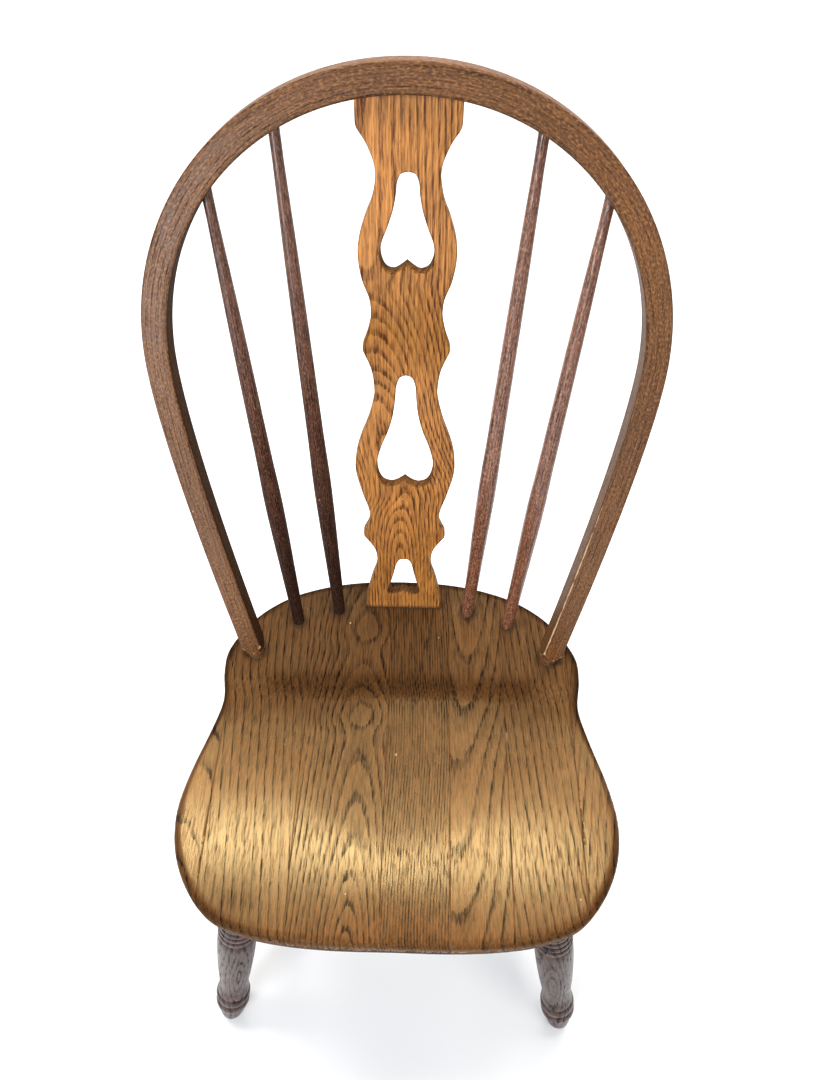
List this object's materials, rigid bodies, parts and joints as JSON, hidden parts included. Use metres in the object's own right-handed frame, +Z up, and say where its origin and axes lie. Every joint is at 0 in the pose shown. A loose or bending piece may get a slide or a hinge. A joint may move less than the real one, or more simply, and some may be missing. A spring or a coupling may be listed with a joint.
{
  "type": "bow-back spindle dining chair",
  "caption": "Stained oak side chair with a saddled board seat, a bent hoop back with spindles and a fretted splat, and turned splayed legs joined by stretchers.",
  "frame": {"origin": "on the floor, at the middle of the chair's footprint from side to side and from front to back", "axes": "+Z up, -Y towards the sitter's front, +X to the right as seen from the front"},
  "size_m": [0.493, 0.5243, 1.0674],
  "materials": {
    "seat": "stained oak under worn satin lacquer",
    "bow": "dark stained bent oak with worn light edges",
    "splat": "amber stained oak, satin lacquer",
    "spindles": "dark stained turned oak",
    "undercarriage": "dark stained turned oak, glossier lacquer"
  },
  "bodies": {
    "root": {"seat_board_1": "seat", "seat_board_2": "seat", "seat_board_3": "seat", "seat_board_4": "seat", "seat_board_5": "seat", "seat_board_6": "seat", "seat_board_7": "seat", "bow": "bow", "splat": "splat", "spindle_left_outer": "spindles", "spindle_left_inner": "spindles", "spindle_right_inner": "spindles", "spindle_right_outer": "spindles", "leg_front_left": "undercarriage", "leg_front_right": "undercarriage", "leg_back_left": "undercarriage", "leg_back_right": "undercarriage", "stretcher_left": "undercarriage", "stretcher_right": "undercarriage", "stretcher_cross": "undercarriage"}
  },
  "joints": []
}
